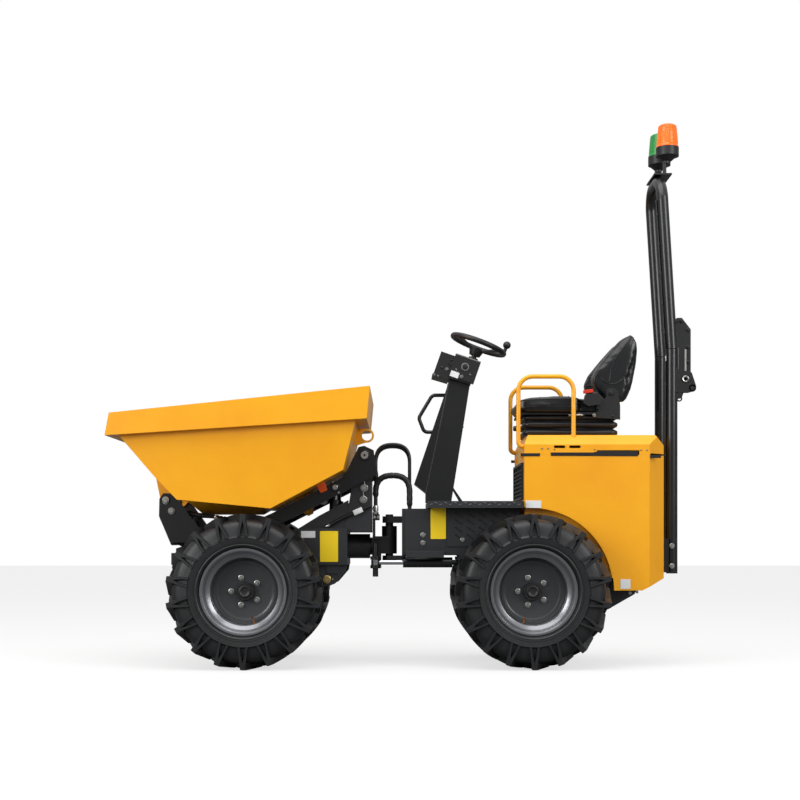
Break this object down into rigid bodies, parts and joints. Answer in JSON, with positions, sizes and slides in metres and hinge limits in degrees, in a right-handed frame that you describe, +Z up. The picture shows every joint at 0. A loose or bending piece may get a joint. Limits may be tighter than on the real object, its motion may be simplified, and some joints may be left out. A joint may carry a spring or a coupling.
{
  "type": "site dumper",
  "caption": "Articulated site dumper with a high-tip skip, open operator seat, folding roll bar and flashing beacons, on lugged pneumatic tyres.",
  "frame": {"origin": "on the ground under the middle of the machine's overall length and width", "axes": "+Z up, -X is the driving direction with the skip in front, -Y is the machine's left side"},
  "size_m": [2.928, 0.984, 2.759],
  "materials": {
    "yellow_paint": "semi-gloss enamel",
    "black_paint": "semi-gloss enamel",
    "grey_paint": "satin enamel",
    "rim_paint": "satin metallic paint",
    "tyre_rubber": "matte",
    "hose_rubber": "satin",
    "rod_chrome": "polished",
    "engine_iron": "painted dull",
    "seat_vinyl": "grained vinyl",
    "black_plastic": "matte",
    "amber_lens": "translucent",
    "green_lens": "translucent"
  },
  "bodies": {
    "rear_frame": {"rear_frame": "grey_paint", "rear_axle": "black_paint", "deck": "grey_paint", "louvre_guards": "grey_paint", "body_panels": "yellow_paint", "arch_liners": "yellow_paint", "radiator_grille": "black_plastic", "engine": "engine_iron", "steering_column": "black_paint", "control_panel": "black_plastic", "column_handle": "black_paint", "rops_base": "black_paint", "hoses": "hose_rubber"},
    "cover": {"engine_cover": "yellow_paint", "seat_base": "black_plastic", "seat_frame": "black_plastic", "seat_cushion": "seat_vinyl", "backrest": "seat_vinyl", "handrails": "yellow_paint"},
    "roll_hoop": {"rops_hoop": "black_paint", "beacon_mounts": "black_plastic", "amber_lens": "amber_lens", "green_lens": "green_lens"},
    "steering_wheel": {"steering_wheel": "black_plastic"},
    "centre_yoke": {"centre_yoke": "black_paint"},
    "front_frame": {"front_frame": "grey_paint", "front_axle": "black_paint", "tower_hoses": "hose_rubber"},
    "lift_frame": {"lift_frame": "black_paint"},
    "skip": {"skip": "yellow_paint", "skip_sides": "yellow_paint", "tip_lugs": "yellow_paint"},
    "lift_barrels": {"lift_barrels": "black_paint"},
    "lift_rods": {"lift_rods": "rod_chrome"},
    "tip_barrel": {"tip_barrel": "black_paint"},
    "tip_rod": {"tip_rod": "rod_chrome"},
    "steer_barrel": {"steer_barrel": "black_paint"},
    "steer_rod": {"steer_rod": "rod_chrome"},
    "front_left_wheel": {"front_left_rim": "rim_paint", "front_left_tyre": "tyre_rubber"},
    "front_right_wheel": {"front_right_rim": "rim_paint", "front_right_tyre": "tyre_rubber"},
    "rear_left_wheel": {"rear_left_rim": "rim_paint", "rear_left_tyre": "tyre_rubber"},
    "rear_right_wheel": {"rear_right_rim": "rim_paint", "rear_right_tyre": "tyre_rubber"}
  },
  "joints": [
    {"name": "articulation", "type": "hinge", "parent": "rear_frame", "child": "centre_yoke", "pos_m": [-0.088, 0, 0.64], "axis": [0, 0, 1], "range_deg": [-33, 33], "deforming": ["hoses"]},
    {"name": "oscillation", "type": "hinge", "parent": "centre_yoke", "child": "front_frame", "pos_m": [-0.238, 0, 0.602], "axis": [1, 0, 0], "range_deg": [-10, 10], "deforming": ["tower_hoses"]},
    {"name": "lift", "type": "hinge", "parent": "front_frame", "child": "lift_frame", "pos_m": [-0.211, 0, 1.059], "axis": [0, 1, 0], "range_deg": [0, 38]},
    {"name": "tip", "type": "hinge", "parent": "lift_frame", "child": "skip", "pos_m": [-1.209, 0, 0.835], "axis": [0, -1, 0], "range_deg": [0, 65]},
    {"name": "lift_barrels_turn", "type": "hinge", "parent": "front_frame", "child": "lift_barrels", "pos_m": [-0.373, 0, 0.5], "axis": [0, 1, 0], "range_deg": [-8.88, 1]},
    {"name": "lift_rods_slide", "type": "slide", "parent": "lift_barrels", "child": "lift_rods", "axis": [0.0352, 0, 0.9994], "range_m": [-0.002, 0.1298]},
    {"name": "tip_barrel_turn", "type": "hinge", "parent": "lift_frame", "child": "tip_barrel", "pos_m": [-1.098, 0, 0.6], "axis": [0, -1, 0], "range_deg": [-1, 58.38]},
    {"name": "tip_rod_slide", "type": "slide", "parent": "tip_barrel", "child": "tip_rod", "axis": [0.9537, 0, 0.3007], "range_m": [-0.002, 0.2635]},
    {"name": "steer_barrel_turn", "type": "hinge", "parent": "rear_frame", "child": "steer_barrel", "pos_m": [0.272, -0.175, 0.52], "axis": [0, 0, 1], "range_deg": [-6, 6]},
    {"name": "steer_rod_slide", "type": "slide", "parent": "steer_barrel", "child": "steer_rod", "axis": [-1, 0, 0], "range_m": [-0.11, 0.11]},
    {"name": "steering_wheel_turn", "type": "hinge", "parent": "rear_frame", "child": "steering_wheel", "pos_m": [0.373, 0, 1.644], "axis": [0.3502, 0, 0.9367], "continuous": true},
    {"name": "cover_hinge", "type": "hinge", "parent": "rear_frame", "child": "cover", "pos_m": [0.579, 0, 1.056], "axis": [0, -1, 0], "range_deg": [0, 38]},
    {"name": "roll_hoop_fold", "type": "hinge", "parent": "rear_frame", "child": "roll_hoop", "pos_m": [1.409, 0, 1.447], "axis": [0, 1, 0], "range_deg": [0, 150]},
    {"name": "front_left_wheel_spin", "type": "hinge", "parent": "front_frame", "child": "front_left_wheel", "pos_m": [-0.7945, -0.368, 0.38], "axis": [0, 1, 0], "continuous": true},
    {"name": "front_right_wheel_spin", "type": "hinge", "parent": "front_frame", "child": "front_right_wheel", "pos_m": [-0.7945, 0.368, 0.38], "axis": [0, 1, 0], "continuous": true},
    {"name": "rear_left_wheel_spin", "type": "hinge", "parent": "rear_frame", "child": "rear_left_wheel", "pos_m": [0.6185, -0.368, 0.38], "axis": [0, 1, 0], "continuous": true},
    {"name": "rear_right_wheel_spin", "type": "hinge", "parent": "rear_frame", "child": "rear_right_wheel", "pos_m": [0.6185, 0.368, 0.38], "axis": [0, 1, 0], "continuous": true}
  ],
  "couplings": [
    {"joint": "lift_barrels_turn", "follows": "lift", "ratio": -0.20735},
    {"joint": "lift_rods_slide", "follows": "lift", "m_per_rad": 0.19263},
    {"joint": "tip_barrel_turn", "follows": "tip", "ratio": 0.88271},
    {"joint": "tip_rod_slide", "follows": "tip", "m_per_rad": 0.23049},
    {"joint": "steer_barrel_turn", "follows": "articulation", "ratio": 0.13588},
    {"joint": "steer_rod_slide", "follows": "articulation", "m_per_rad": -0.16901}
  ]
}
